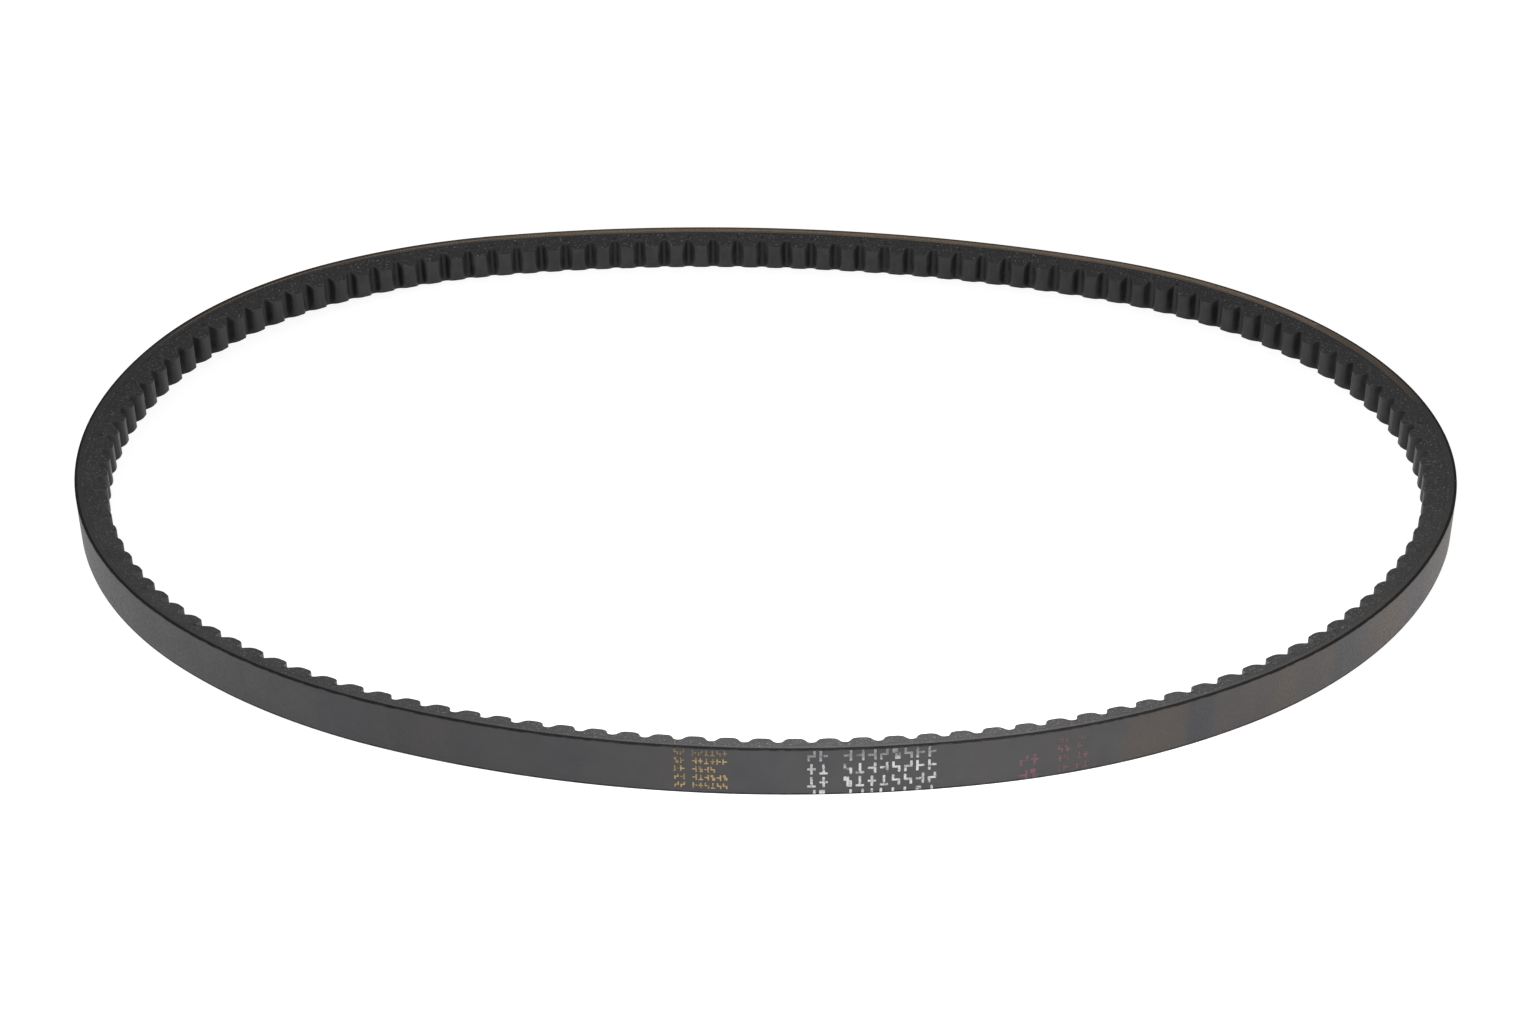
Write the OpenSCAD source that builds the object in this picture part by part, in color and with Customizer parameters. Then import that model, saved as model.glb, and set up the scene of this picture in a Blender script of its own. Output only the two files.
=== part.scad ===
// Raw-edge cogged V-belt, lying on its side as an oval loop.
// Millimetres. +Z is up, across the belt's width. The origin is under the middle
// of the loop, level with the edge of the back fabric that the belt rests on.

/* [Belt section] */
// Width across the back of the belt
top_width = 17; // [12:0.5:25]
// Height of the section, from the back to the tips of the cogs
belt_height = 11; // [9:0.5:14]
// Slope of each flank; the two flanks together make twice this wedge angle
flank_slope = 20; // [15:0.5:22]

/* [Belt length] */
// Length around the inside of the loop, over the tips of the cogs
inside_length = 1321; // [1000:1:2500]

/* [Layers, from the back inwards] */
// Thickness of the outer ply of back fabric
outer_ply = 0.5; // [0.3:0.05:0.8]
// Thickness of the inner ply of back fabric
inner_ply = 0.5; // [0.3:0.05:0.8]
// Rubber between the back fabric and the cords
overcord_cover = 0.2; // [0.1:0.05:0.6]
// Diameter of the tensile cord
cord_diameter = 1.1; // [0.8:0.05:1.4]
// Rubber between one turn of the cord and the next
cord_gap = 0.15; // [0.1:0.05:0.6]
// Rubber between the cords and the cogged body
undercord_cover = 0.3; // [0.1:0.05:0.8]

/* [Cogs] */
// Distance from cog to cog around the inside, before rounding to whole cogs
cog_pitch = 10; // [8:0.1:14]
// Place of the first cog past the start of the right end, as a share of the distance between cogs
cog_shift = 0.29; // [0:0.01:1]
// Depth of the grooves between the cogs
groove_depth = 4.2; // [2:0.1:5.5]
// Radius at the root of each groove
root_radius = 1.5; // [0.8:0.1:1.8]
// Lean of each groove wall away from square
groove_lean = 22; // [10:1:25]

/* [Lay of the loop: bend radii, in shares that are scaled to the length] */
// Bend at the right end
right_end = 1.41; // [1:0.01:1.6]
// Bends from the right end to the back side
back_right = [1.45, 1.72]; // [1:0.01:3]
// Bend of the back side
back_side = 4.48; // [3.6:0.01:6]
// Bends from the back side to the left end
back_left = [1.79, 1.33]; // [1:0.01:3]
// Bends from the left end to the front side
front_left = [1.7, 2.17]; // [1:0.01:3]
// Bends from the front side to the right end
front_right = [2.33, 1.87]; // [1:0.01:3]

/* [Printed marks on the back] */
// Thickness of the printed film
film = 0.05; // [0.02:0.01:0.2]
// Height of each block of printed rows, across the width of the back
print_height = 13; // [8:0.5:14]
// White block: where it starts along X, and its length
white_block = [34, 40]; // [-60:1:60]
// Gold block: where it starts along X, and its length
gold_block = [-7, 17]; // [-60:1:60]
// Red block: where it starts along X, and its length
red_block = [98, 22]; // [-60:1:100]

/* [Hidden] */
$fn = 360;
circle_fn = 48;

// Depths below the back, and heights above the line over the cog tips.
fabric_depth = outer_ply + inner_ply;
cord_depth = fabric_depth + overcord_cover + cord_diameter / 2;
cushion_depth = cord_depth + cord_diameter / 2 + undercord_cover;
function height_at(depth) = belt_height - depth;

// The fabric's cut edge is square, and the flanks start below it.
function half_width(depth) = top_width / 2 - max(0, depth - fabric_depth) * tan(flank_slope);
cord_pitch = cord_diameter + cord_gap;
cord_turns = floor(2 * half_width(cord_depth) / cord_pitch) + 1;

// The loop is a closed ring of arcs that meet where the outward directions are these. Their
// sides are 7:24:25 and 3:4:5 triangles, so the arcs' centres are round numbers and ends match.
corner = [[0.96, 0.28], [0.6, 0.8], [0.28, 0.96]];
meets = [corner[0], corner[1], corner[2],
         [-corner[2].x, corner[2].y], [-corner[1].x, corner[1].y], [-corner[0].x, corner[0].y],
         -corner[0], -corner[1], -corner[2],
         [corner[2].x, -corner[2].y], [corner[1].x, -corner[1].y], [corner[0].x, -corner[0].y]];
arc_count = len(meets);
function next(k) = (k + 1) % arc_count;
function arc_start(k) = (atan2(meets[k].y, meets[k].x) + 360) % 360;
function arc_sweep(k) = (arc_start(next(k)) - arc_start(k) + 360) % 360;
function part_sum(list, k) = k < 0 ? 0 : list[k] + part_sum(list, k - 1);

// Two of the bends follow from the others, so that the loop closes: the left end and the front.
end_weight = corner[0].y * 2;
near_weight = corner[1].y - corner[0].y;
far_weight = corner[2].y - corner[1].y;
side_near_weight = corner[1].x - corner[2].x;
side_far_weight = corner[0].x - corner[1].x;
function close_loop(right, back, br, bl, fl, fr) =
    let (left = right + (near_weight * (br[0] + fr[1] - bl[1] - fl[0])
                         + far_weight * (br[1] + fr[0] - bl[0] - fl[1])) / end_weight,
         front = back + (side_near_weight * (br[1] + bl[0] - fl[1] - fr[0])
                         + side_far_weight * (br[0] + bl[1] - fl[0] - fr[1])) / end_weight)
    [br[0], br[1], back, bl[0], bl[1], left, fl[0], fl[1], front, fr[0], fr[1], right];
shares = close_loop(right_end, back_side, back_right, back_left, front_left, front_right);
share_length = part_sum([for (k = [0:arc_count - 1]) shares[k] * arc_sweep(k) * PI / 180],
                        arc_count - 1);

// Free bends go in steps that keep the two closing bends, and the centres, round numbers.
bend_step = 0.7;
function bend(share) = round(share * inside_length / share_length / bend_step) * bend_step;
function bends(list) = [for (share = list) bend(share)];
radii = close_loop(bend(right_end), bend(back_side), bends(back_right), bends(back_left),
                   bends(front_left), bends(front_right));
function shift(k) = (radii[k] - radii[next(k)]) * meets[next(k)];
centres = [for (k = 0, c = [0, 0]; k < arc_count; c = c + shift(k), k = k + 1) c];
// Arcs that hold the back, left, front and right ends of the loop.
side_arcs = [2, 5, 8, 11];
function to_hundredth(value) = round(value * 100) / 100;
middle = [to_hundredth((centres[side_arcs[3]].x + radii[side_arcs[3]]
                        + centres[side_arcs[1]].x - radii[side_arcs[1]]) / 2),
          to_hundredth((centres[side_arcs[0]].y + radii[side_arcs[0]]
                        + centres[side_arcs[2]].y - radii[side_arcs[2]]) / 2)];
inner_length = part_sum([for (k = [0:arc_count - 1]) radii[k] * arc_sweep(k) * PI / 180],
                        arc_count - 1);
wedge_reach = ceil(inside_length / 1000) * 1000;
spare_angle = 2;

// Distances around the loop along the cords, which keep their length as it bends.
function cord_arc(k) = (radii[k] + height_at(cord_depth)) * arc_sweep(k) * PI / 180;
arc_starts = [for (k = 0, s = 0; k < arc_count; s = s + cord_arc(k), k = k + 1) s];
cord_length = inner_length + 2 * PI * height_at(cord_depth);
cog_count = round(inside_length / cog_pitch);
cog_spacing = cord_length / cog_count;
function arc_at(s) = len([for (start = arc_starts) if (start <= s) start]) - 1;

// Groove outline, from the line over the cog tips towards the back: a rounded root between
// two walls that lean apart, run on a little past the tips.
clear_of_tips = 2;
root_centre = groove_depth - root_radius;
root_steps = 6;
root_turn = 180 - 2 * groove_lean;
mouth_half = root_radius * cos(groove_lean)
             + (root_centre + root_radius * sin(groove_lean) + clear_of_tips) * tan(groove_lean);
root_points = [for (i = [0:root_steps])
    let (angle = groove_lean + i * root_turn / root_steps)
    [root_centre + root_radius * sin(angle), root_radius * cos(angle)]];

fabric_grey = [0.30, 0.30, 0.31];
ply_grey = [0.13, 0.13, 0.13];
cushion_tan = [0.36, 0.32, 0.29];
cord_tan = [0.55, 0.47, 0.38];
rubber_grey = [0.22, 0.22, 0.23];

// Carries a section around the whole loop. Its X is the height above the cog tips.
module around_loop() {
    for (k = [0:arc_count - 1])
        translate([centres[k].x - middle.x, centres[k].y - middle.y, top_width / 2])
            intersection() {
                rotate_extrude(angle = arc_sweep(k) + 2 * spare_angle, start = arc_start(k) - spare_angle)
                    translate([radii[k], 0])
                        children();
                linear_extrude(2 * top_width, center = true)
                    polygon([[0, 0], wedge_reach * meets[k], wedge_reach * meets[next(k)]]);
            }
}

// Places a child on the line over the cog tips, at a distance along the cords.
module at_distance(s) {
    k = arc_at(s);
    angle = arc_start(k) + (s - arc_starts[k]) / cord_arc(k) * arc_sweep(k);
    translate([centres[k].x - middle.x, centres[k].y - middle.y, 0])
        rotate([0, 0, angle])
            translate([radii[k], 0, 0])
                children();
}

// Section of the belt between two depths below the back.
module layer(from, to) {
    polygon([[height_at(from), half_width(from)], [height_at(to), half_width(to)],
             [height_at(to), -half_width(to)], [height_at(from), -half_width(from)]]);
}

module cord_ends() {
    for (turn = [0:cord_turns - 1])
        translate([height_at(cord_depth), (turn - (cord_turns - 1) / 2) * cord_pitch])
            circle(d = cord_diameter, $fn = circle_fn);
}

module groove_outline() {
    polygon(concat([[-clear_of_tips, mouth_half]], root_points, [[-clear_of_tips, -mouth_half]]));
}

// A block of equal printed rows on the back, half of each pitch inked.
module print_block(block, rows) {
    pitch = print_height / (rows - 0.5);
    intersection() {
        around_loop()
            for (row = [0:rows - 1])
                translate([belt_height, row * pitch - print_height / 2])
                    square([film, pitch / 2]);
        translate([block.x, -inside_length / 2, 0])
            cube([block.y, inside_length / 2, top_width]);
    }
}

module outer_fabric_ply() {
    color(fabric_grey)
        around_loop() layer(0, outer_ply);
}

module inner_fabric_ply() {
    color(ply_grey)
        around_loop() layer(outer_ply, fabric_depth);
}

module overcord_rubber() {
    color(cushion_tan)
        around_loop()
            difference() {
                layer(fabric_depth, cord_depth);
                cord_ends();
            }
}

// The turns at both edges are cut through by the flanks.
module tensile_cord() {
    color(cord_tan)
        around_loop()
            intersection() {
                layer(fabric_depth, cushion_depth);
                cord_ends();
            }
}

module undercord_rubber() {
    color(cushion_tan)
        around_loop()
            difference() {
                layer(cord_depth, cushion_depth);
                cord_ends();
            }
}

module compression_rubber() {
    color(rubber_grey)
        difference() {
            around_loop() layer(cushion_depth, belt_height);
            for (cog = [0:cog_count - 1])
                at_distance((cog + cog_shift + 0.5) * cog_spacing)
                    linear_extrude(top_width) groove_outline();
        }
}

module white_print() {
    color("white") print_block(white_block, 4);
}

module gold_print() {
    color("goldenrod") print_block(gold_block, 5);
}

module red_print() {
    color("firebrick") print_block(red_block, 4);
}

outer_fabric_ply();
inner_fabric_ply();
overcord_rubber();
tensile_cord();
undercord_rubber();
compression_rubber();
white_print();
gold_print();
red_print();
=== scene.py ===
"""A raw-edge cogged V-belt lying on its side as an oval loop, in a plain white studio.

The belt's own measures are in millimetres. A depth is measured below the back, a height across
is measured from the middle of the width, and a distance along is measured at the cords.
"""

import math

import bmesh
import bpy
import numpy as np
from mathutils import Matrix, Vector


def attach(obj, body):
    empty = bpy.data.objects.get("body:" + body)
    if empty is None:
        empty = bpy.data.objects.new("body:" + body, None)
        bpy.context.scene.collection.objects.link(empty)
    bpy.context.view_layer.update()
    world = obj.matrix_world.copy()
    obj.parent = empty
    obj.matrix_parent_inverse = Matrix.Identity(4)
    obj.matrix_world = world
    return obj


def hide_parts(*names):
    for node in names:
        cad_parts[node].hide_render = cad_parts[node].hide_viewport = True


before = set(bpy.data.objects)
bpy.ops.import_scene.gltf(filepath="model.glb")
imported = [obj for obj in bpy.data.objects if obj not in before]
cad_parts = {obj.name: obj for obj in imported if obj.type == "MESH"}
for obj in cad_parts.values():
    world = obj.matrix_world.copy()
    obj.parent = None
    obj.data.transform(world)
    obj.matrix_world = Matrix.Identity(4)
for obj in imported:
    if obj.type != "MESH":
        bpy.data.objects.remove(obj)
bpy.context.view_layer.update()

MM = 0.001

# The belt's section.
TOP_WIDTH = 17.0
BELT_HEIGHT = 11.0
FLANK_SLOPE = math.radians(20)
OUTER_PLY = 0.5
RIM_RADIUS = 0.2
FABRIC_DEPTH = 1.0
OVERCORD_COVER = 0.2
UNDERCORD_COVER = 0.3
CORD_DIAMETER = 1.1
CORD_PITCH = 1.25
CORD_INSET = 0.1
CORD_PROUD = 0.02
CORD_DEPTH = FABRIC_DEPTH + OVERCORD_COVER + CORD_DIAMETER / 2
CUSHION_DEPTH = CORD_DEPTH + CORD_DIAMETER / 2 + UNDERCORD_COVER

# Cogs. The shift is a share of the spacing.
COG_COUNT = 132
COG_SHIFT = 0.29
GROOVE_DEPTH = 4.2
ROOT_RADIUS = 1.5
TIP_RADIUS = 2.4
GROOVE_LEAN = math.radians(22)
BROKEN_EDGE = 0.12

# The loop is a ring of tangent arcs. Their ends lie where the outward direction is one of
# these, or its mirror image in the other three quarters.
DIRECTIONS = [(0.96, 0.28), (0.6, 0.8), (0.28, 0.96)]
BEND_RADII = [
    144.9, 172.2, 448.0, 179.2, 133.0, 169.95,
    170.1, 217.0, 340.75, 233.1, 186.9, 140.7,
]
BACK_ARC = 2
LEFT_ARC = 5
FRONT_ARC = 8
RIGHT_ARC = 11

# Steps of the meshes.
RING_STEP = 2.0
WINDING_STEP = 3.0
WINDING_SIDES = 12

# Printed marks. The film stands this far above the back and is sunk this far into it, and it
# ends this far from the flanks. The rounding is a share of a bar's stroke.
FILM_THICKNESS = 0.04
FILM_SUNK = 0.02
FILM_INSET = 0.45
BAR_ROUNDING = 0.3

# Each mark is a few short bars in a cell one unit high, and says nothing. A bar is its middle,
# its width and its height.
MARK_SHAPES = [
    [(0.1, 0.5, 0.2, 1.0), (0.43, 0.5, 0.46, 0.2)],
    [(0.56, 0.5, 0.2, 1.0), (0.23, 0.5, 0.46, 0.2)],
    [(0.33, 0.5, 0.2, 1.0), (0.115, 0.5, 0.23, 0.2), (0.545, 0.5, 0.23, 0.2)],
    [(0.33, 0.1, 0.66, 0.2), (0.33, 0.6, 0.2, 0.8)],
    [(0.1, 0.7, 0.2, 0.6), (0.33, 0.5, 0.26, 0.2), (0.56, 0.3, 0.2, 0.6)],
    [(0.1, 0.3, 0.2, 0.6), (0.33, 0.5, 0.26, 0.2), (0.56, 0.7, 0.2, 0.6)],
    [(0.22, 0.8, 0.44, 0.4), (0.44, 0.3, 0.44, 0.6)],
]

# A block of marks: where it starts along X, how many marks each row has, the step from mark to
# mark, their height and stroke, the height across of the top row and the step from row to row.
WHITE_BLOCK = {
    "x": 34, "rows": (10, 10, 10, 10), "step": 3.68,
    "height": 3.9, "stroke": 0.75, "top": 6.1, "row_step": 4.9,
}
GOLD_BLOCK = {
    "x": -6.6, "rows": (8, 8, 6, 8, 8), "step": 1.85,
    "height": 2.1, "stroke": 0.4, "top": 6.7, "row_step": 3.07,
}
RED_BLOCKS = [
    {
        "x": 98.3, "rows": (2, 2), "step": 3.4,
        "height": 4.0, "stroke": 0.6, "top": -1.0, "row_step": 5.6,
    },
    {
        "x": 109.8, "rows": (4, 3, 4, 4), "step": 2.1,
        "height": 2.4, "stroke": 0.42, "top": 5.0, "row_step": 3.6,
    },
]
WHITE_SEED = 3
GOLD_SEED = 5
RED_SEED = 8

# Colours, as red, green and blue of 0 to 255.
FACE = (61, 61, 63)
FACE_LIGHT = (90, 89, 88)
FACE_DARK = (53, 54, 57)
FACE_WARM = (72, 65, 61)
FACE_COOL = (52, 53, 58)
# A darker, bluer band at one place on the face.
FACE_DARK_BAND = (48, 50, 58)
# The dark of the painted shade along the face's rounded rims.
FACE_RIM_SHADE = (20, 20, 22)
OUTER_CUT = (12, 12, 14)
OUTER_THREAD = (40, 38, 36)
INNER_CUT = (17, 17, 19)
INNER_THREAD = (50, 47, 44)
CUSHION_CUT = (62, 61, 60)
CUSHION_FIBRE = (120, 109, 98)
CUSHION_WARM = (118, 105, 92)
CORD_SHADE = (112, 98, 84)
CORD_STRAND = (158, 140, 120)
CORD_WORN = (104, 98, 92)
RUBBER = (40, 40, 42)
FLANK_HAZE = (56, 56, 57)
FLANK_FIBRE = (122, 120, 117)
FLANK_FLECK = (146, 144, 140)
FLANK_DUST = (170, 168, 163)
FLANK_SKIM = (110, 99, 88)
FLANK_SEAM = (30, 30, 32)
# Dark marks on the flank above each groove's root.
FLANK_TICK = (24, 24, 26)
COG_BLOOM = (54, 54, 56)
COG_DUST = (120, 118, 115)
INK_WHITE = (206, 210, 208)
INK_GOLD = (196, 164, 100)
INK_RED = (128, 84, 94)
FLOOR_GREY = (170, 170, 170)

# The studio, in metres.
CAMERA_PLACE = (0.09148, -0.83663, 0.49861)
CAMERA_AIM = (0.006509, -0.031356, 0.0085)
CAMERA_ROLL = math.radians(-0.3551)
CAMERA_LENS_MM = 62.754
SENSOR_WIDTH_MM = 36.0
CAMERA_NEAR = 0.01
WHITE = (1, 1, 1, 1)
WORLD_LEVEL = 0.26
FLOOR_RADIUS = 6.0
FLOOR_DROP = 0.00005
FLOOR_LIFT = 0.9
LIFT_NEAR = 0.24
LIFT_FAR = 0.36


# The loop.

def arc_ends():
    """The twelve outward directions where the arcs meet, anticlockwise from the right end."""
    first = DIRECTIONS
    second = [(-x, y) for x, y in reversed(first)]
    half_turn = [(-x, -y) for x, y in first + second]
    return np.array(first + second + half_turn)


class Loop:
    """The line over the cog tips, and places on it by distance along."""

    def __init__(self):
        meets = arc_ends()
        self.radii = np.array(BEND_RADII)
        self.starts = np.arctan2(meets[:, 1], meets[:, 0]) % (2 * math.pi)
        self.sweeps = (np.roll(self.starts, -1) - self.starts) % (2 * math.pi)
        centres = [np.zeros(2)]
        for k in range(1, len(meets)):
            step = (self.radii[k - 1] - self.radii[k]) * meets[k]
            centres.append(centres[-1] + step)
        self.centres = np.array(centres)
        middle_x = (self.edge(RIGHT_ARC, 0, 1) + self.edge(LEFT_ARC, 0, -1)) / 2
        middle_y = (self.edge(BACK_ARC, 1, 1) + self.edge(FRONT_ARC, 1, -1)) / 2
        self.centres -= np.round([middle_x, middle_y], 2)
        cord_radii = self.radii + BELT_HEIGHT - CORD_DEPTH
        self.lengths = cord_radii * self.sweeps
        self.cumulative = np.concatenate([[0], np.cumsum(self.lengths)])
        self.length = self.cumulative[-1]

    def edge(self, arc, axis, side):
        """How far an arc's circle reaches along an axis, to its plus or minus side."""
        return self.centres[arc][axis] + side * self.radii[arc]

    def which(self, ends, value):
        """The arc that this value falls in, given the values at the arcs' ends."""
        k = np.searchsorted(ends, value, side="right") - 1
        return np.clip(k, 0, len(self.radii) - 1)

    def frames(self, s):
        """Arc centres, outward directions and tip-line radii at distances s."""
        s = np.asarray(s, float) % self.length
        k = self.which(self.cumulative, s)
        share = (s - self.cumulative[k]) / self.lengths[k]
        angle = self.starts[k] + share * self.sweeps[k]
        outward = np.stack([np.cos(angle), np.sin(angle)], axis=-1)
        return self.centres[k], outward, self.radii[k]

    def distance_at_angle(self, degrees):
        """The distance along at which the belt's outward direction has this heading."""
        turned = (math.radians(degrees) - self.starts[0]) % (2 * math.pi)
        ends = np.concatenate([[0], np.cumsum(self.sweeps)])
        k = int(self.which(ends, turned))
        return self.cumulative[k] + (turned - ends[k]) / self.sweeps[k] * self.lengths[k]

    def distance_on_front(self, x):
        """The distance along at which the front of the loop is at this X."""
        headings = np.arange(190, 350, 0.1)
        distances = np.array([self.distance_at_angle(heading) for heading in headings])
        reached = self.points(distances, 0, 0)[:, 0] / MM
        return float(np.interp(x, reached, distances))

    def points(self, s, depth, across):
        """Points in metres at distances s, depths and heights across."""
        s, depth, across = np.broadcast_arrays(s, depth, across)
        centres, outward, radii = self.frames(s)
        reach = radii + BELT_HEIGHT - depth
        flat = centres + outward * reach[..., None]
        up = TOP_WIDTH / 2 + across
        return np.concatenate([flat, up[..., None]], axis=-1) * MM


LOOP = Loop()
COG_SPACING = LOOP.length / COG_COUNT

# Where things lie along the belt: the lap and the dark band of the fabric, the end of the
# cord, and the stretch where the outermost turn of cord shows.
LAP_PLACE = LOOP.distance_on_front(-98)
DARK_BAND_PLACE = LOOP.distance_on_front(154)
CORD_START = LOOP.distance_at_angle(42)
WARM_START = LOOP.distance_at_angle(25)
WARM_END = LOOP.distance_at_angle(118)


def half_width(depth):
    """Half the belt's width at a depth: square at the fabric, then tapered."""
    below = np.maximum(0, depth - FABRIC_DEPTH)
    return TOP_WIDTH / 2 - below * math.tan(FLANK_SLOPE)


# Meshes.

def add_object(name, data):
    piece = bpy.data.objects.new(name, data)
    bpy.context.scene.collection.objects.link(piece)
    return piece


def object_from(bm, name):
    """An object with the shape that was built in bm."""
    mesh = bpy.data.meshes.new(name)
    bm.to_mesh(mesh)
    bm.free()
    return add_object(name, mesh)


def build_mesh(name, points, faces, uvs, slots):
    """A smooth mesh object. uvs holds one pair for each corner of each face."""
    mesh = bpy.data.meshes.new(name)
    mesh.from_pydata(points.tolist(), [], faces)
    layer = mesh.uv_layers.new(name="belt")
    layer.data.foreach_set("uv", np.asarray(uvs, np.float32).ravel())
    mesh.polygons.foreach_set("material_index", slots)
    mesh.polygons.foreach_set("use_smooth", [True] * len(mesh.polygons))
    mesh.update()
    return add_object(name, mesh)


def quad(row, after, corner, near, corners):
    """The four points of a face between two rows and two corners of a swept section."""
    return (row * corners + corner, after * corners + corner,
            after * corners + near, row * corners + near)


def sweep(name, stations, section, slots_of_edges, sharp_edges):
    """Sweeps a closed section round the loop. The section is the depths, the heights across
    and the UV heights of its corners, each of shape (stations, corners)."""
    depths, across, heights = section
    rows, corners = depths.shape
    points = LOOP.points(stations[:, None], depths, across).reshape(-1, 3)
    faces, uvs, slots = [], [], []
    ends = np.append(stations[1:], stations[0] + LOOP.length)
    for row in range(rows):
        after = (row + 1) % rows
        for corner in range(corners):
            near = (corner + 1) % corners
            faces.append(quad(row, after, corner, near, corners))
            uvs.append((stations[row], heights[row, corner]))
            uvs.append((ends[row], heights[after, corner]))
            uvs.append((ends[row], heights[after, near]))
            uvs.append((stations[row], heights[row, near]))
            slots.append(slots_of_edges[corner])
    piece = build_mesh(name, points, faces, uvs, slots)
    mark_sharp(piece, corners, sharp_edges)
    return piece


def mark_sharp(piece, corners, sharp_edges):
    """Marks the long edges at the given corners of the section as sharp."""
    sharp = piece.data.attributes.new("sharp_edge", "BOOLEAN", "EDGE")
    values = []
    for edge in piece.data.edges:
        a, b = edge.vertices
        values.append(a % corners == b % corners and a % corners in sharp_edges)
    sharp.data.foreach_set("value", values)


def even_sweep(name, depths, across, heights, slots_of_edges, sharp_edges):
    """Sweeps a section that is the same all round the loop."""
    count = round(LOOP.length / RING_STEP)
    stations = np.arange(count) * LOOP.length / count
    shape = (count, len(depths))
    section = [np.broadcast_to(values, shape) for values in (depths, across, heights)]
    return sweep(name, stations, section, slots_of_edges, sharp_edges)


def layer_ring(name, top, bottom, face_slot, cut_slot):
    """A layer of the belt between two depths, with its cut edges on the flanks."""
    steps = 3
    cut = np.linspace(top, bottom, steps)
    half = half_width(cut)
    depths = np.concatenate([cut, cut[::-1]])
    across = np.concatenate([half, -half[::-1]])
    slots = [cut_slot] * (steps - 1) + [face_slot]
    sharp = (0, steps - 1, steps, 2 * steps - 1)
    return even_sweep(name, depths, across, depths, slots * 2, sharp)


def make_outer_ply():
    """The back fabric's outer ply: a flat back with rounded rims and square-cut edges."""
    half = TOP_WIDTH / 2
    rim_points, face_points, cut_edges = 5, 9, 3
    turn = np.linspace(0, math.pi / 2, rim_points)
    rim_depth = RIM_RADIUS - RIM_RADIUS * np.sin(turn)
    rim_across = half - RIM_RADIUS + RIM_RADIUS * np.cos(turn)
    face = np.linspace(half - RIM_RADIUS, -(half - RIM_RADIUS), face_points)[1:-1]
    depths = np.concatenate([[OUTER_PLY], rim_depth, 0 * face, rim_depth[::-1], [OUTER_PLY]])
    across = np.concatenate([[half], rim_across, face, -rim_across[::-1], [-half]])
    heights = np.where(depths >= RIM_RADIUS, depths, across)
    corners = len(depths)
    back_edges = corners - 2 * cut_edges - 1
    slots = [1] * cut_edges + [0] * back_edges + [1] * (cut_edges + 1)
    sharp = (0, corners - 1)
    return even_sweep("back_outer_fabric", depths, across, heights, slots, sharp)


def half_cog():
    """From the middle of a cog's tip to the middle of the next groove, as distances along and
    heights above the tip: flat tip, rounded corner, leaning wall, rounded root."""
    lean = GROOVE_LEAN
    bend_points = 7
    root_centre = np.array([COG_SPACING / 2, GROOVE_DEPTH - ROOT_RADIUS])
    wall_top = root_centre + ROOT_RADIUS * np.array([-math.cos(lean), math.sin(lean)])
    corner = wall_top[0] - wall_top[1] * math.tan(lean)
    tangent = TIP_RADIUS * math.tan((math.pi / 2 - lean) / 2)
    tip_centre = np.array([corner - tangent, TIP_RADIUS])
    turn = np.linspace(-math.pi / 2, -lean, bend_points)
    tip = tip_centre + TIP_RADIUS * np.stack([np.cos(turn), np.sin(turn)], axis=1)
    turn = np.linspace(math.pi - lean, math.pi / 2, bend_points)
    root = root_centre + ROOT_RADIUS * np.stack([np.cos(turn), np.sin(turn)], axis=1)
    land = np.array([[0, 0], [tip_centre[0] / 2, 0]])
    wall = np.array([tip[-1] + (root[0] - tip[-1]) * share for share in (0.33, 0.67)])
    return np.concatenate([land, tip, wall, root])


def cog_outline():
    """Stations along the whole loop and the depth of the cogged inside at each."""
    half = half_cog()
    mirrored_along = 2 * half[-1, 0] - half[-2:0:-1, 0]
    mirrored = np.stack([mirrored_along, half[-2:0:-1, 1]], axis=1)
    one = np.concatenate([half, mirrored])
    places = [(cog + COG_SHIFT) * COG_SPACING for cog in range(COG_COUNT)]
    stations = np.concatenate([one[:, 0] + place for place in places])
    depths = BELT_HEIGHT - np.tile(one[:, 1], COG_COUNT)
    return stations, depths


def make_compression_rubber():
    """The cogged body: ground flanks and moulded cogs, with a slightly broken edge between."""
    stations, tip_depth = cog_outline()
    column = tip_depth[:, None]
    down = np.array([0.0, 0.5, 1.0])
    flank_depth = CUSHION_DEPTH + (column - BROKEN_EDGE - CUSHION_DEPTH) * down
    flank_across = half_width(flank_depth)
    over = np.array([1.0, 0.5, 0.0, -0.5, -1.0])
    floor_across = (half_width(column) - BROKEN_EDGE) * over
    floor_depth = np.repeat(column, len(over), axis=1)
    other_depth = flank_depth[:, ::-1]
    depths = np.concatenate([flank_depth, floor_depth, other_depth], axis=1)
    across = np.concatenate([flank_across, floor_across, -flank_across[:, ::-1]], axis=1)
    heights = np.concatenate([flank_depth, floor_across, other_depth], axis=1)
    slots = [0, 0, 1, 1, 1, 1, 1, 1, 0, 0, 0]
    sharp = (0, 2, 3, 7, 8, 10)
    return sweep("cogged_body", stations, (depths, across, heights), slots, sharp)


def make_cord_windings():
    """One cord wound as a spiral of turns, cut flush where it meets the flanks."""
    reach = half_width(CORD_DEPTH) - CORD_INSET
    turns = 2 * reach / CORD_PITCH
    count = round(LOOP.length * turns / WINDING_STEP)
    s = CORD_START + np.arange(count + 1) * LOOP.length * turns / count
    centre = reach - (s - CORD_START) / LOOP.length * CORD_PITCH
    turn = np.arange(WINDING_SIDES) * 2 * math.pi / WINDING_SIDES
    depths = CORD_DEPTH + CORD_DIAMETER / 2 * np.cos(turn) + 0 * centre[:, None]
    across = centre[:, None] + CORD_DIAMETER / 2 * np.sin(turn)
    limit = half_width(depths) + CORD_PROUD
    across = np.clip(across, -limit, limit)
    points = LOOP.points(s[:, None], depths, across).reshape(-1, 3)
    faces, uvs = rod_faces(s)
    return build_mesh("cord_windings", points, faces, uvs, [0] * len(faces))


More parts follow.
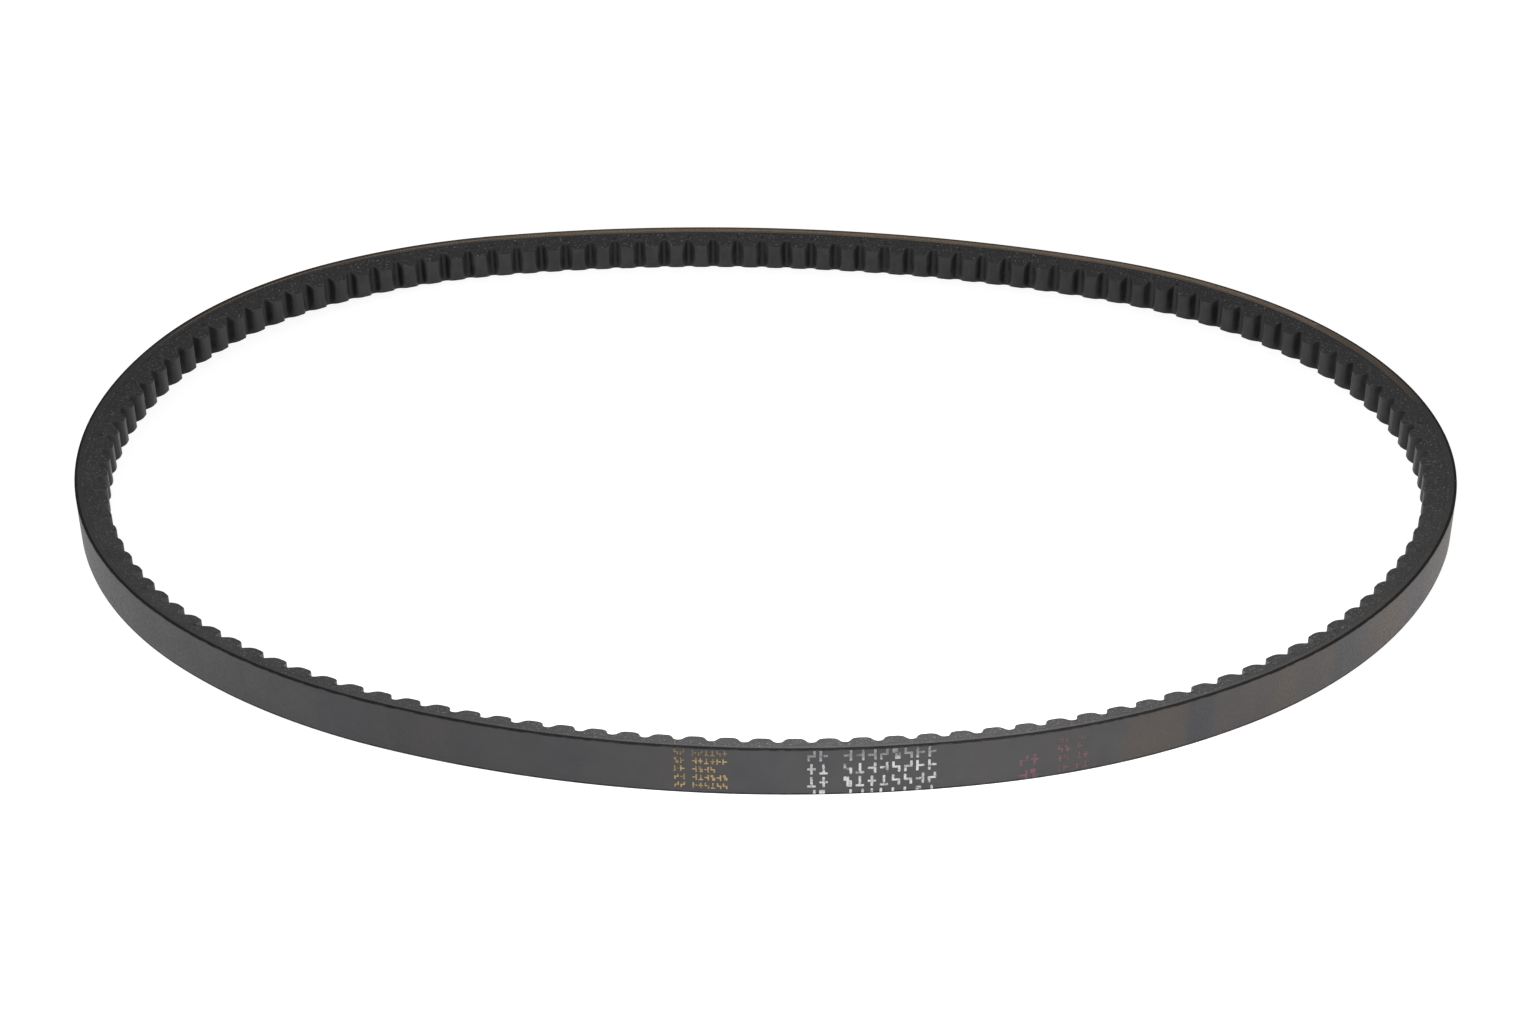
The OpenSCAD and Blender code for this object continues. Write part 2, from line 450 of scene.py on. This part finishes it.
def rod_faces(s):
    """The faces and UVs of a closed rod with a ring of points at each distance s."""
    sides = WINDING_SIDES
    faces, uvs = [], []
    for row in range(len(s) - 1):
        for side in range(sides):
            faces.append(quad(row, row + 1, side, (side + 1) % sides, sides))
            low, high = side / sides, (side + 1) / sides
            uvs += [(s[row], low), (s[row + 1], low), (s[row + 1], high), (s[row], high)]
    last_row = (len(s) - 1) * sides
    faces.append(tuple(range(sides)))
    faces.append(tuple(last_row + side for side in range(sides))[::-1])
    uvs += [(0, 0)] * sides * 2
    return faces, uvs


# Printed marks.

def rounded_outline(x, y, width, height, corner, steps=4):
    """A rounded rectangle about (x, y), anticlockwise."""
    corner = min(corner, width / 2, height / 2)
    points = []
    for k, (sx, sy) in enumerate([(1, 1), (-1, 1), (-1, -1), (1, -1)]):
        for turn in np.linspace(k * math.pi / 2, (k + 1) * math.pi / 2, steps):
            points.append((x + sx * (width / 2 - corner) + corner * math.cos(turn),
                           y + sy * (height / 2 - corner) + corner * math.sin(turn)))
    return np.array(points)


def add_film(bm, outline):
    """A thin solid from an outline, proud of the back."""
    levels = []
    for depth in (-FILM_THICKNESS, FILM_SUNK):
        places = LOOP.points(outline[:, 0], depth, outline[:, 1])
        levels.append([bm.verts.new(place) for place in places])
    top, base = levels
    for k in range(len(outline)):
        n = (k + 1) % len(outline)
        bm.faces.new((base[k], base[n], top[n], top[k]))
    bm.faces.new(top)
    bm.faces.new(base[::-1])


def add_mark(bm, shape, s, low, height, stroke):
    """One mark, with its lower left corner at distance s and height across low."""
    for x, y, width, tall in shape:
        bar_width = max(stroke, width * height)
        bar_height = max(stroke, tall * height)
        bar = rounded_outline(s + x * height, low + y * height, bar_width, bar_height,
                              BAR_ROUNDING * stroke)
        add_film(bm, bar)


def add_block(bm, chance, x, rows, step, height, stroke, top, row_step):
    """Rows of marks, each row with a gap of one step after its first two marks."""
    start = LOOP.distance_on_front(x)
    for row, count in enumerate(rows):
        low = top - row * row_step - height / 2
        for cell in range(count):
            shape = MARK_SHAPES[chance.integers(len(MARK_SHAPES))]
            gap = step if cell > 1 else 0
            add_mark(bm, shape, start + cell * step + gap, low, height, stroke)


def make_marks(name, blocks, seed):
    chance = np.random.default_rng(seed)
    bm = bmesh.new()
    for block in blocks:
        add_block(bm, chance, **block)
    trim_film(bm)
    return object_from(bm, name)


def trim_film(bm):
    """Cuts off what would pass the rounded rims of the back."""
    for side, height in ((-1, FILM_INSET), (1, TOP_WIDTH - FILM_INSET)):
        everything = bm.verts[:] + bm.edges[:] + bm.faces[:]
        bmesh.ops.bisect_plane(bm, geom=everything, plane_co=(0, 0, height * MM),
                               plane_no=(0, 0, side), clear_outer=True)
        rims = [edge for edge in bm.edges if edge.is_boundary]
        bmesh.ops.holes_fill(bm, edges=rims)
    bmesh.ops.recalc_face_normals(bm, faces=bm.faces)


# Materials.

def linear(red, green, blue):
    """A colour of 0 to 255 as the linear values that a shader socket takes."""
    levels = [value / 255 for value in (red, green, blue)]
    return [v / 12.92 if v <= 0.04045 else ((v + 0.055) / 1.055) ** 2.4 for v in levels] + [1]


class Finish:
    """A material and short calls that add its nodes. Its places and sizes are in millimetres:
    place is a point in space, along is the distance along the belt, and across is the height
    across on the back and over the cogs, and the depth on a flank."""

    def __init__(self, name, specular, roughness=0.6):
        self.material = bpy.data.materials.new(name)
        self.material.use_nodes = True
        self.tree = self.material.node_tree
        self.shader = self.tree.nodes["Principled BSDF"]
        self.shader.inputs["Roughness"].default_value = roughness
        self.shader.inputs["Specular IOR Level"].default_value = specular
        coordinates = self.tree.nodes.new("ShaderNodeTexCoord")
        self.place = self.scaled(coordinates.outputs["Object"], (1 / MM, 1 / MM, 1 / MM))
        self.belt = coordinates.outputs["UV"]
        self.along, self.across = self.parts(self.belt)[:2]

    def link(self, source, socket):
        """Sets a socket from a number or a colour, or links it to an output."""
        if hasattr(source, "links"):
            self.tree.links.new(source, socket)
        else:
            socket.default_value = source

    def parts(self, vector):
        node = self.tree.nodes.new("ShaderNodeSeparateXYZ")
        self.link(vector, node.inputs[0])
        return node.outputs[:]

    def scaled(self, vector, scale):
        node = self.tree.nodes.new("ShaderNodeMapping")
        node.inputs["Scale"].default_value = scale
        self.link(vector, node.inputs["Vector"])
        return node.outputs[0]

    def math(self, operation, a, b=0.0):
        node = self.tree.nodes.new("ShaderNodeMath")
        node.operation = operation
        self.link(a, node.inputs[0])
        self.link(b, node.inputs[1])
        return node.outputs[0]

    def times(self, a, b):
        return self.math("MULTIPLY", a, b)

    def noise(self, size, detail=2.0, vector=None, rough=0.5):
        """Noise whose largest grains are about this many millimetres."""
        node = self.tree.nodes.new("ShaderNodeTexNoise")
        node.inputs["Scale"].default_value = 1 / size
        node.inputs["Detail"].default_value = detail
        node.inputs["Roughness"].default_value = rough
        self.link(vector or self.place, node.inputs["Vector"])
        return node.outputs["Fac"]

    def streaks(self, length, width, detail):
        """Noise with grains of this length along the belt and this width across it."""
        vector = self.scaled(self.belt, (1 / length, 1 / width, 1))
        return self.noise(1, detail, vector)

    def spots(self, size):
        """Distance from the nearest of scattered points, in units of their spacing."""
        node = self.tree.nodes.new("ShaderNodeTexVoronoi")
        node.inputs["Scale"].default_value = 1 / size
        self.link(self.place, node.inputs["Vector"])
        return node.outputs["Distance"]

    def threads(self, vector, scale, distortion, detail_scale=1.0):
        """Slanting bands, like the lay of a cord or the threads of bias-cut fabric."""
        node = self.tree.nodes.new("ShaderNodeTexWave")
        node.bands_direction = "DIAGONAL"
        node.inputs["Scale"].default_value = scale
        node.inputs["Distortion"].default_value = distortion
        node.inputs["Detail Scale"].default_value = detail_scale
        self.link(vector, node.inputs["Vector"])
        return node.outputs["Fac"]

    def ramp(self, value, low, high, start=0.0, end=1.0):
        """Goes smoothly from start to end while the value goes from low to high."""
        node = self.tree.nodes.new("ShaderNodeMapRange")
        node.interpolation_type = "SMOOTHSTEP"
        for name, number in (("Value", value), ("From Min", low), ("From Max", high),
                             ("To Min", start), ("To Max", end)):
            self.link(number, node.inputs[name])
        return node.outputs[0]

    def mix(self, share, a, b):
        node = self.tree.nodes.new("ShaderNodeMix")
        node.data_type = "RGBA"
        self.link(share, node.inputs[0])
        self.link(a, node.inputs[6])
        self.link(b, node.inputs[7])
        return node.outputs[2]

    def tint(self, shade, mask, strength, colour):
        """Lays a colour over a shade, with this strength where the mask is 1."""
        return self.mix(self.times(mask, strength), shade, linear(*colour))

    def colour(self, value):
        self.link(value, self.shader.inputs["Base Color"])

    def roughness(self, value):
        self.link(value, self.shader.inputs["Roughness"])

    def bump(self, height, depth):
        """Bump from a height of 0 to 1 that stands for this many millimetres."""
        node = self.tree.nodes.new("ShaderNodeBump")
        node.inputs["Distance"].default_value = depth * MM
        self.link(height, node.inputs["Height"])
        self.link(node.outputs[0], self.shader.inputs["Normal"])


def worn_fabric(name):
    """Rubbered fabric, dull and mottled, threads just showing, with painted shade at rims and
    lap.
    """
    f = Finish(name, specular=0.35)
    cloud = f.ramp(f.noise(14, 4), 0.3, 0.7)
    grain = f.ramp(f.noise(0.9, 3), 0.35, 0.7)
    scuff = f.ramp(f.streaks(9, 0.5, 3), 0.62, 0.8)
    rim = painted_rim_shade(f)
    shade = f.mix(cloud, linear(*FACE_DARK), linear(*FACE))
    shade = f.tint(shade, grain, 0.14, FACE_LIGHT)
    shade = f.tint(shade, scuff, 0.35, FACE_LIGHT)
    # Painted shadow behind the lap step, in the face's darker tone.
    shade = f.tint(shade, lap_shadow(f), 0.5, FACE_DARK)
    shade = fabric_bands(f, shade)
    # Painted shade darkens the face along its two rims.
    shade = f.tint(shade, rim, 0.85, FACE_RIM_SHADE)
    f.colour(shade)
    f.roughness(f.math("MAXIMUM", f.ramp(grain, 0, 1, 0.5, 0.68), rim))
    threads = f.threads(f.belt, 0.45, 1.2, 2)
    f.bump(f.math("ADD", f.times(threads, 0.5), grain), 0.02)
    return f.material


def lap_shadow(f):
    """Painted shadow: 1 at the step where the fabric laps over itself, fading to 0 behind it.
    """
    step_width = 0.4
    fade_length = 30
    lap = f.ramp(f.along, LAP_PLACE - step_width, LAP_PLACE)
    fade = f.ramp(f.along, LAP_PLACE, LAP_PLACE + fade_length, 1, 0)
    return f.times(lap, fade)


def fabric_bands(f, shade):
    """Adds faint bands across the face, warmer towards the right end, and one dark band."""
    band = f.ramp(f.streaks(26, 400, 3), 0.42, 0.62)
    warm_side = f.ramp(f.parts(f.place)[0], 90, 150, 0.3, 0.9)
    shade = f.tint(shade, band, warm_side, FACE_WARM)
    cool = f.ramp(f.streaks(15, 500, 2), 0.6, 0.7)
    shade = f.tint(shade, cool, 0.4, FACE_COOL)
    # A darker, bluer band across the face at one place along the belt.
    away = f.math("ABSOLUTE", f.math("SUBTRACT", f.along, DARK_BAND_PLACE))
    return f.tint(shade, f.ramp(away, 3, 6, 1, 0), 0.6, FACE_DARK_BAND)


def painted_rim_shade(f):
    """Painted shade: near 1 along the two rims of the face, uneven in patches."""
    half = TOP_WIDTH / 2
    upper = f.ramp(f.across, half - 0.6, half - 0.3)
    lower = f.ramp(f.across, -(half - 0.5), -(half - 0.9), 1, 0)
    patchiness = f.ramp(f.noise(3, 3), 0.3, 0.6, 0.6, 1)
    return f.times(f.math("MAXIMUM", upper, lower), patchiness)


def cut_edge(name, base, thread, share, warm=None):
    """The cut side of a ply or of the cushion: dark rubber with thread ends. Where the cord
    runs close under the flank, the rubber can have a warm tone."""
    f = Finish(name, specular=0.1)
    ends = f.ramp(f.streaks(0.8, 0.3, 2), 0.45, 0.75)
    patch = f.ramp(f.noise(9, 3), 0.35, 0.65, 0.35, 1)
    shade = linear(*base)
    if warm:
        shade = f.mix(warm_stretch(f), shade, linear(*warm))
    f.colour(f.tint(shade, f.times(ends, patch), share, thread))
    f.roughness(f.ramp(ends, 0, 1, 0.7, 0.9))
    f.bump(ends, 0.08)
    return f.material


def warm_stretch(f):
    """1 along the stretch where the outermost turn of cord shows, fading at both ends."""
    rise = f.ramp(f.along, WARM_START - 60, WARM_START + 60)
    fall = f.ramp(f.along, WARM_END - 110, WARM_END + 60, 1, 0)
    wander = f.ramp(f.streaks(22, 4, 3), 0.3, 0.6, 0.55, 1)
    return f.times(f.times(rise, fall), wander)


def twisted_cord(name):
    """Tan polyester cord, with its lay showing."""
    f = Finish(name, specular=0.2, roughness=0.8)
    lay = f.threads(f.scaled(f.belt, (1, 3, 1)), 0.5, 2)
    strand = f.ramp(lay, 0.2, 0.8)
    patch = f.ramp(f.noise(7, 4), 0.35, 0.7)
    shade = f.mix(strand, linear(*CORD_SHADE), linear(*CORD_STRAND))
    f.colour(f.tint(shade, patch, 0.35, CORD_WORN))
    f.bump(strand, 0.12)
    return f.material


def ground_flank(name):
    """Ground rubber, full of short chopped fibres lying across the belt."""
    f = Finish(name, specular=0.18)
    fibres = f.ramp(f.streaks(0.35, 1.1, 2), 0.6, 0.72)
    flecks = f.ramp(f.noise(0.7, 3), 0.6, 0.7)
    haze = f.ramp(f.noise(11, 4), 0.3, 0.7)
    shade = f.mix(haze, linear(*RUBBER), linear(*FLANK_HAZE))
    shade = f.tint(shade, fibres, 0.45, FLANK_FIBRE)
    shade = f.tint(shade, flecks, 0.7, FLANK_FLECK)
    shade = f.tint(shade, flank_dust(f), 0.6, FLANK_DUST)
    skim = f.ramp(f.across, CUSHION_DEPTH + 0.5, CUSHION_DEPTH + 0.7, 1, 0)
    shade = f.tint(shade, skim, warm_stretch(f), FLANK_SKIM)
    shade = f.tint(shade, flank_seam(f), 0.5, FLANK_SEAM)
    # Dark marks on the flank above each groove's root.
    shade = f.tint(shade, groove_ticks(f), 0.8, FLANK_TICK)
    f.colour(shade)
    f.roughness(f.ramp(haze, 0, 1, 0.62, 0.8))
    f.bump(f.math("ADD", f.times(fibres, 0.6), f.noise(0.3, 3)), 0.06)
    return f.material


def flank_dust(f):
    """Round specks of dust, in some places only."""
    dust = f.ramp(f.spots(3.2), 0.07, 0.12, 1, 0)
    chosen = f.ramp(f.noise(6, 2), 0.58, 0.64)
    return f.times(dust, chosen)


def flank_seam(f):
    """A line along the flank just below the cushion."""
    upper = f.ramp(f.across, CUSHION_DEPTH + 0.6, CUSHION_DEPTH + 0.8)
    lower = f.ramp(f.across, CUSHION_DEPTH + 1.0, CUSHION_DEPTH + 1.4, 1, 0)
    return f.times(upper, lower)


def groove_ticks(f):
    """Dark marks on the flank just above the root of each groove, some stronger than others.
    """
    reach = 0.4
    fade = 0.72
    turn = f.math("SUBTRACT", f.math("DIVIDE", f.along, COG_SPACING), COG_SHIFT)
    off_middle = f.math("SUBTRACT", f.math("FRACT", turn), 0.5)
    away = f.times(f.math("ABSOLUTE", off_middle), COG_SPACING)
    near = f.ramp(away, reach, fade, 1, 0)
    tick = f.times(near, f.ramp(f.across, 4.7, 5.2))
    return f.times(tick, f.ramp(f.noise(4, 2), 0.4, 0.55, 0.3, 1))


def moulded_rubber(name):
    """The moulded faces of the cogs: smooth dark rubber with a faint bloom."""
    f = Finish(name, specular=0.28)
    bloom = f.ramp(f.noise(6, 4), 0.35, 0.7)
    grain = f.noise(0.7, 3)
    shade = f.mix(bloom, linear(*RUBBER), linear(*COG_BLOOM))
    f.colour(f.tint(shade, f.ramp(grain, 0.6, 0.8), 0.3, COG_DUST))
    f.roughness(f.ramp(bloom, 0, 1, 0.42, 0.58))
    f.bump(grain, 0.05)
    return f.material


def worn_ink(name, ink, keep):
    """Ink that has rubbed away in patches down to the colour of the back, most of all near
    the upper rim. keep is the share of it that is left at its best."""
    f = Finish(name, specular=0.3)
    patches = f.noise(2.2, 4, rough=0.6)
    speckle = f.noise(0.35, 2)
    left = f.ramp(f.math("ADD", f.times(patches, 0.6), f.times(speckle, 0.4)), 0.36, 0.56)
    height = f.parts(f.place)[2]
    top = f.ramp(height, TOP_WIDTH - 5.2, TOP_WIDTH - 2.6, 1, 0.4)
    left = f.times(f.times(left, top), keep)
    f.colour(f.mix(left, linear(*FACE), linear(*ink)))
    f.roughness(f.ramp(left, 0, 1, 0.65, 0.5))
    f.bump(speckle, 0.02)
    return f.material


# Pieces.

def give(piece, *materials):
    for material in materials:
        piece.data.materials.append(material)


def place(piece, slot, *nodes):
    """Rides a piece on the belt's one body, in the place of CAD nodes."""
    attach(piece, "root")
    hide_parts(*nodes)


def make_belt():
    back = worn_fabric("back_fabric_face")
    outer_cut = cut_edge("fabric_cut_edge", OUTER_CUT, OUTER_THREAD, 0.3)
    inner_cut = cut_edge("inner_cut_edge", INNER_CUT, INNER_THREAD, 0.35)
    cushion_cut = cut_edge("cushion_cut_edge", CUSHION_CUT, CUSHION_FIBRE, 0.5, CUSHION_WARM)
    flank = ground_flank("flank_ground")
    cogs = moulded_rubber("cog_moulded")

    outer = make_outer_ply()
    give(outer, back, outer_cut)
    place(outer, "back_fabric", "outer_fabric_ply")
    inner = layer_ring("back_inner_fabric", OUTER_PLY, FABRIC_DEPTH, 0, 1)
    give(inner, back, inner_cut)
    place(inner, "inner_fabric", "inner_fabric_ply")
    cushion = layer_ring("cord_cushion", FABRIC_DEPTH, CUSHION_DEPTH, 0, 0)
    give(cushion, cushion_cut)
    place(cushion, "cushion_rubber", "overcord_rubber", "undercord_rubber")
    windings = make_cord_windings()
    give(windings, twisted_cord("cord_twisted"))
    place(windings, "tensile_cord", "tensile_cord")
    body = make_compression_rubber()
    give(body, flank, cogs)
    place(body, "compression_rubber", "compression_rubber")


def make_prints():
    white = make_marks("white_marks", [WHITE_BLOCK], WHITE_SEED)
    give(white, worn_ink("ink_white", INK_WHITE, 0.95))
    place(white, "white_ink", "white_print")
    gold = make_marks("gold_marks", [GOLD_BLOCK], GOLD_SEED)
    give(gold, worn_ink("ink_gold", INK_GOLD, 0.9))
    place(gold, "gold_ink", "gold_print")
    red = make_marks("red_marks", RED_BLOCKS, RED_SEED)
    give(red, worn_ink("ink_red", INK_RED, 0.7))
    place(red, "red_ink", "red_print")


# The studio.

def aimed(place, aim):
    """A matrix that puts something at a place, looking along its -Z at the aim."""
    towards = Vector(aim) - Vector(place)
    turned = towards.to_track_quat("-Z", "Y").to_matrix().to_4x4()
    return Matrix.Translation(place) @ turned


def make_camera():
    camera = add_object("camera", bpy.data.cameras.new("camera"))
    camera.data.lens = CAMERA_LENS_MM
    camera.data.sensor_width = SENSOR_WIDTH_MM
    camera.data.clip_start = CAMERA_NEAR
    roll = Matrix.Rotation(CAMERA_ROLL, 4, "Z")
    camera.matrix_world = aimed(CAMERA_PLACE, CAMERA_AIM) @ roll
    bpy.context.scene.camera = camera


def make_lamp(name, place, aim, size, power, colour=(1, 1, 1)):
    """A rectangular lamp that the camera doesn't see. Its power is in watts."""
    lamp = bpy.data.lights.new(name, "AREA")
    lamp.shape = "RECTANGLE"
    lamp.size, lamp.size_y = size
    lamp.energy = power
    lamp.color = colour
    holder = add_object(name, lamp)
    holder.visible_camera = False
    holder.matrix_world = aimed(place, aim)


def seen_by_camera(tree):
    """1 for rays from the camera and for reflections and glass, else 0."""
    path = tree.nodes.new("ShaderNodeLightPath")
    total = path.outputs["Is Camera Ray"]
    for name in ("Is Glossy Ray", "Is Transmission Ray"):
        node = tree.nodes.new("ShaderNodeMath")
        node.operation = "MAXIMUM"
        tree.links.new(total, node.inputs[0])
        tree.links.new(path.outputs[name], node.inputs[1])
        total = node.outputs[0]
    return total


def background(node, strength):
    """Sets a background node to white of this strength."""
    node.inputs["Color"].default_value = WHITE
    node.inputs["Strength"].default_value = strength
    return node.outputs[0]


def make_world():
    """Pure white to the camera, and a weaker white as a light."""
    world = bpy.data.worlds.new("studio")
    bpy.context.scene.world = world
    world.use_nodes = True
    tree = world.node_tree
    choose = tree.nodes.new("ShaderNodeMixShader")
    tree.links.new(seen_by_camera(tree), choose.inputs[0])
    weak = background(tree.nodes["Background"], WORLD_LEVEL)
    full = background(tree.nodes.new("ShaderNodeBackground"), 1.0)
    tree.links.new(weak, choose.inputs[1])
    tree.links.new(full, choose.inputs[2])
    tree.links.new(choose.outputs[0], tree.nodes["World Output"].inputs["Surface"])


def floor_glow(tree):
    """Light that lifts the floor to white for the camera, a little less near the belt."""
    place = tree.nodes.new("ShaderNodeTexCoord")
    reach = tree.nodes.new("ShaderNodeVectorMath")
    reach.operation = "LENGTH"
    tree.links.new(place.outputs["Object"], reach.inputs[0])
    level = tree.nodes.new("ShaderNodeMapRange")
    level.interpolation_type = "SMOOTHSTEP"
    level.inputs["From Min"].default_value = LIFT_NEAR
    level.inputs["From Max"].default_value = LIFT_FAR
    level.inputs["To Min"].default_value = FLOOR_LIFT
    level.inputs["To Max"].default_value = 1.0
    tree.links.new(reach.outputs["Value"], level.inputs["Value"])
    lift = tree.nodes.new("ShaderNodeMath")
    lift.operation = "MULTIPLY"
    tree.links.new(seen_by_camera(tree), lift.inputs[0])
    tree.links.new(level.outputs[0], lift.inputs[1])
    glow = tree.nodes.new("ShaderNodeEmission")
    tree.links.new(lift.outputs[0], glow.inputs["Strength"])
    return glow.outputs[0]


def floor_white():
    material = bpy.data.materials.new("floor_white")
    material.use_nodes = True
    tree = material.node_tree
    shader = tree.nodes["Principled BSDF"]
    shader.inputs["Base Color"].default_value = linear(*FLOOR_GREY)
    shader.inputs["Roughness"].default_value = 0.9
    shader.inputs["Specular IOR Level"].default_value = 0.0
    both = tree.nodes.new("ShaderNodeAddShader")
    tree.links.new(shader.outputs[0], both.inputs[0])
    tree.links.new(floor_glow(tree), both.inputs[1])
    tree.links.new(both.outputs[0], tree.nodes["Material Output"].inputs["Surface"])
    return material


def make_floor():
    """A round floor, white to the camera but for the shadow that the belt leaves on it."""
    bm = bmesh.new()
    bmesh.ops.create_circle(bm, cap_ends=True, segments=96, radius=FLOOR_RADIUS)
    floor = object_from(bm, "floor")
    floor.location.z = -FLOOR_DROP
    floor.data.materials.append(floor_white())


def make_lamps():
    make_lamp("lamp_over", place=(0.06, -0.195, 0.15), aim=(0.06, -0.185, 0),
              size=(0.14, 0.07), power=0.5)
    make_lamp("lamp_front", place=(0.0, -1.1, 0.3), aim=(0, -0.1, 0),
              size=(0.8, 0.3), power=0.3)
    make_lamp("lamp_right", place=(1.0, -0.3, 0.05), aim=(0.2, -0.05, 0.01),
              size=(0.5, 0.06), power=5.5, colour=(1, 0.93, 0.87))
    make_lamp("lamp_left", place=(-0.8, -0.55, 0.2), aim=(0.05, 0.12, 0),
              size=(0.3, 0.2), power=3.9)


make_belt()
make_prints()
make_camera()
make_world()
make_floor()
make_lamps()
bpy.context.scene.view_settings.view_transform = "Standard"
